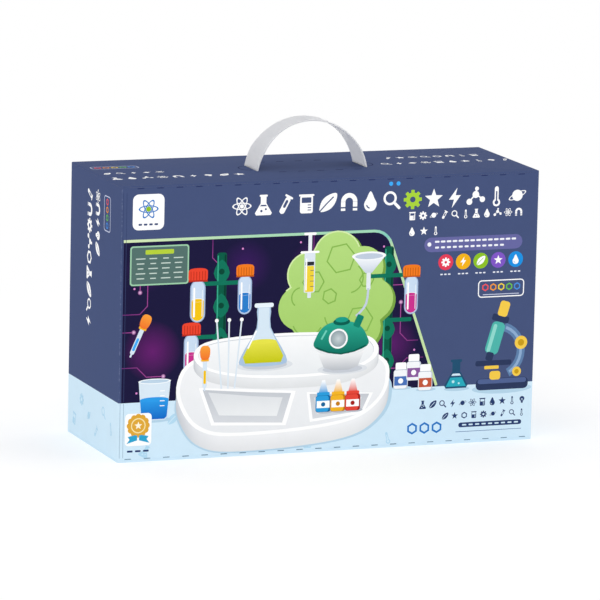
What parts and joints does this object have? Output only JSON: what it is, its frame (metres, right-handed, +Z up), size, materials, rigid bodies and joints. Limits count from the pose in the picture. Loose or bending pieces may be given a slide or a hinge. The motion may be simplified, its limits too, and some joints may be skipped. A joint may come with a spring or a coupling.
{
  "type": "boxed science kit",
  "caption": "Printed board carton with a carry strap and a hinged lid, packed with a card fitment that holds laboratory glassware, bottles, tools and a moulded table.",
  "frame": {"origin": "centre of the carton's underside, on the surface that it stands on", "axes": "+X along the carton's width, to the right of a person facing its front; +Z up; the front panel faces -Y; the lid hinges at the front top edge"},
  "size_m": [0.45, 0.16, 0.3298],
  "materials": {
    "carton_board": "printed and coated",
    "inner_board": "uncoated",
    "fitment_card": "white lined",
    "strap_plastic": "satin, slightly see-through",
    "booklet_paper": "coated",
    "white_plastic": "moulded",
    "light_green_plastic": "moulded",
    "dark_green_plastic": "moulded",
    "teal_plastic": "moulded",
    "orange_plastic": "ribbed",
    "red_plastic": "ribbed",
    "blue_plastic": "moulded",
    "yellow_plastic": "moulded",
    "clear_plastic": "clear",
    "bulb_yellow_rubber": "soft",
    "bulb_red_rubber": "soft",
    "black_rubber": "soft",
    "chart_face": "satin"
  },
  "bodies": {
    "carton": {"basin_tray": "white_plastic", "beaker": "clear_plastic", "bottom_dust_flaps": "inner_board", "bottom_flap_inner": "inner_board", "bottom_flap_outer": "carton_board", "carton_sleeve": "carton_board", "chart_board": "chart_face", "clear_sticks": "clear_plastic", "conical_flask": "clear_plastic", "display_posts": "dark_green_plastic", "dropper_barrels": "clear_plastic", "dropper_bulb_red": "bulb_red_rubber", "dropper_bulb_yellow": "bulb_yellow_rubber", "dye_bottle_blue": "blue_plastic", "dye_bottle_red": "red_plastic", "dye_bottle_yellow": "yellow_plastic", "fitment_deck": "fitment_card", "fitment_front_leg": "fitment_card", "fitment_rear_leg": "fitment_card", "fitment_shelf": "fitment_card", "floor_pad": "inner_board", "funnel": "white_plastic", "instruction_booklet": "booklet_paper", "large_tube_1": "clear_plastic", "large_tube_2": "clear_plastic", "measuring_spoon": "white_plastic", "pot_bowl": "white_plastic", "raised_platform": "white_plastic", "reagent_bottles": "white_plastic", "small_tube_1": "clear_plastic", "small_tube_2": "clear_plastic", "stirring_rod": "white_plastic", "syringe_barrel": "clear_plastic", "table_base": "white_plastic", "tree_board": "light_green_plastic", "tube_clips": "dark_green_plastic"},
    "lid": {"top_lid": "carton_board", "handle_anchor_left": "strap_plastic", "handle_anchor_right": "strap_plastic"},
    "tuck": {"tuck_flap": "carton_board"},
    "left_dust_flap": {"dust_flap_left": "carton_board"},
    "right_dust_flap": {"dust_flap_right": "carton_board"},
    "handle": {"handle_strap": "strap_plastic"},
    "plunger": {"syringe_plunger": "white_plastic", "plunger_seal": "black_rubber"},
    "pot_lid": {"pot_dome": "teal_plastic", "pot_window": "clear_plastic"},
    "large_cap_1": {"large_cap_1": "orange_plastic"},
    "large_cap_2": {"large_cap_2": "orange_plastic"},
    "small_cap_1": {"small_cap_1": "red_plastic"},
    "small_cap_2": {"small_cap_2": "red_plastic"},
    "reagent_cap_1": {"reagent_cap_1": "white_plastic"},
    "reagent_cap_2": {"reagent_cap_2": "white_plastic"},
    "reagent_cap_3": {"reagent_cap_3": "white_plastic"},
    "reagent_cap_4": {"reagent_cap_4": "white_plastic"},
    "dye_cap_blue": {"dye_cap_blue": "blue_plastic"},
    "dye_cap_yellow": {"dye_cap_yellow": "yellow_plastic"},
    "dye_cap_red": {"dye_cap_red": "red_plastic"}
  },
  "joints": [
    {"name": "lid_hinge", "type": "hinge", "parent": "carton", "child": "lid", "pos_m": [0, -0.08, 0.27785], "axis": [1, 0, 0], "range_deg": [0, 180]},
    {"name": "left_dust_flap_hinge", "type": "hinge", "parent": "carton", "child": "left_dust_flap", "pos_m": [-0.22285, 0, 0.2777], "axis": [0, -1, 0], "range_deg": [0, 90]},
    {"name": "right_dust_flap_hinge", "type": "hinge", "parent": "carton", "child": "right_dust_flap", "pos_m": [0.22285, 0, 0.2777], "axis": [0, 1, 0], "range_deg": [0, 90]},
    {"name": "tuck_flap_fold", "type": "hinge", "parent": "lid", "child": "tuck", "pos_m": [0, 0.0745, 0.2767], "axis": [-1, 0, 0], "range_deg": [0, 36]},
    {"name": "handle_tilt", "type": "hinge", "parent": "lid", "child": "handle", "pos_m": [0, 0, 0.2995], "axis": [1, 0, 0], "range_deg": [-70, 70], "stiffness_Nm_per_rad": 0.02},
    {"name": "plunger_slide", "type": "slide", "parent": "carton", "child": "plunger", "axis": [0, 0, 1], "range_m": [0, 0.045]},
    {"name": "pot_lid_lift", "type": "slide", "parent": "carton", "child": "pot_lid", "axis": [0, 0, 1], "range_m": [0, 0.018]},
    {"name": "large_cap_1_turn", "type": "hinge", "parent": "carton", "child": "large_cap_1", "pos_m": [0.0695, -0.0164, 0.214], "axis": [0, 0, 1], "range_deg": [0, 360]},
    {"name": "large_cap_2_turn", "type": "hinge", "parent": "carton", "child": "large_cap_2", "pos_m": [0.105, -0.0164, 0.214], "axis": [0, 0, 1], "range_deg": [0, 360]},
    {"name": "small_cap_1_turn", "type": "hinge", "parent": "carton", "child": "small_cap_1", "pos_m": [0.1355, -0.0164, 0.214], "axis": [0, 0, 1], "range_deg": [0, 360]},
    {"name": "small_cap_2_turn", "type": "hinge", "parent": "carton", "child": "small_cap_2", "pos_m": [0.161, -0.0164, 0.214], "axis": [0, 0, 1], "range_deg": [0, 360]},
    {"name": "reagent_cap_1_turn", "type": "hinge", "parent": "carton", "child": "reagent_cap_1", "pos_m": [0.0695, -0.0544, 0.214], "axis": [0, 0, 1], "range_deg": [0, 360]},
    {"name": "reagent_cap_2_turn", "type": "hinge", "parent": "carton", "child": "reagent_cap_2", "pos_m": [0.105, -0.0544, 0.214], "axis": [0, 0, 1], "range_deg": [0, 360]},
    {"name": "reagent_cap_3_turn", "type": "hinge", "parent": "carton", "child": "reagent_cap_3", "pos_m": [0.1405, -0.0544, 0.214], "axis": [0, 0, 1], "range_deg": [0, 360]},
    {"name": "reagent_cap_4_turn", "type": "hinge", "parent": "carton", "child": "reagent_cap_4", "pos_m": [0.176, -0.0544, 0.214], "axis": [0, 0, 1], "range_deg": [0, 360]},
    {"name": "dye_cap_blue_turn", "type": "hinge", "parent": "carton", "child": "dye_cap_blue", "pos_m": [0.2065, -0.0604, 0.214], "axis": [0, 0, 1], "range_deg": [0, 360]},
    {"name": "dye_cap_yellow_turn", "type": "hinge", "parent": "carton", "child": "dye_cap_yellow", "pos_m": [0.2065, -0.0354, 0.214], "axis": [0, 0, 1], "range_deg": [0, 360]},
    {"name": "dye_cap_red_turn", "type": "hinge", "parent": "carton", "child": "dye_cap_red", "pos_m": [0.2065, -0.0104, 0.214], "axis": [0, 0, 1], "range_deg": [0, 360]}
  ],
  "couplings": [
    {"joint": "left_dust_flap_hinge", "follows": "lid_hinge", "ratio": 0.5},
    {"joint": "right_dust_flap_hinge", "follows": "lid_hinge", "ratio": 0.5},
    {"joint": "tuck_flap_fold", "follows": "lid_hinge", "ratio": 0.2}
  ]
}
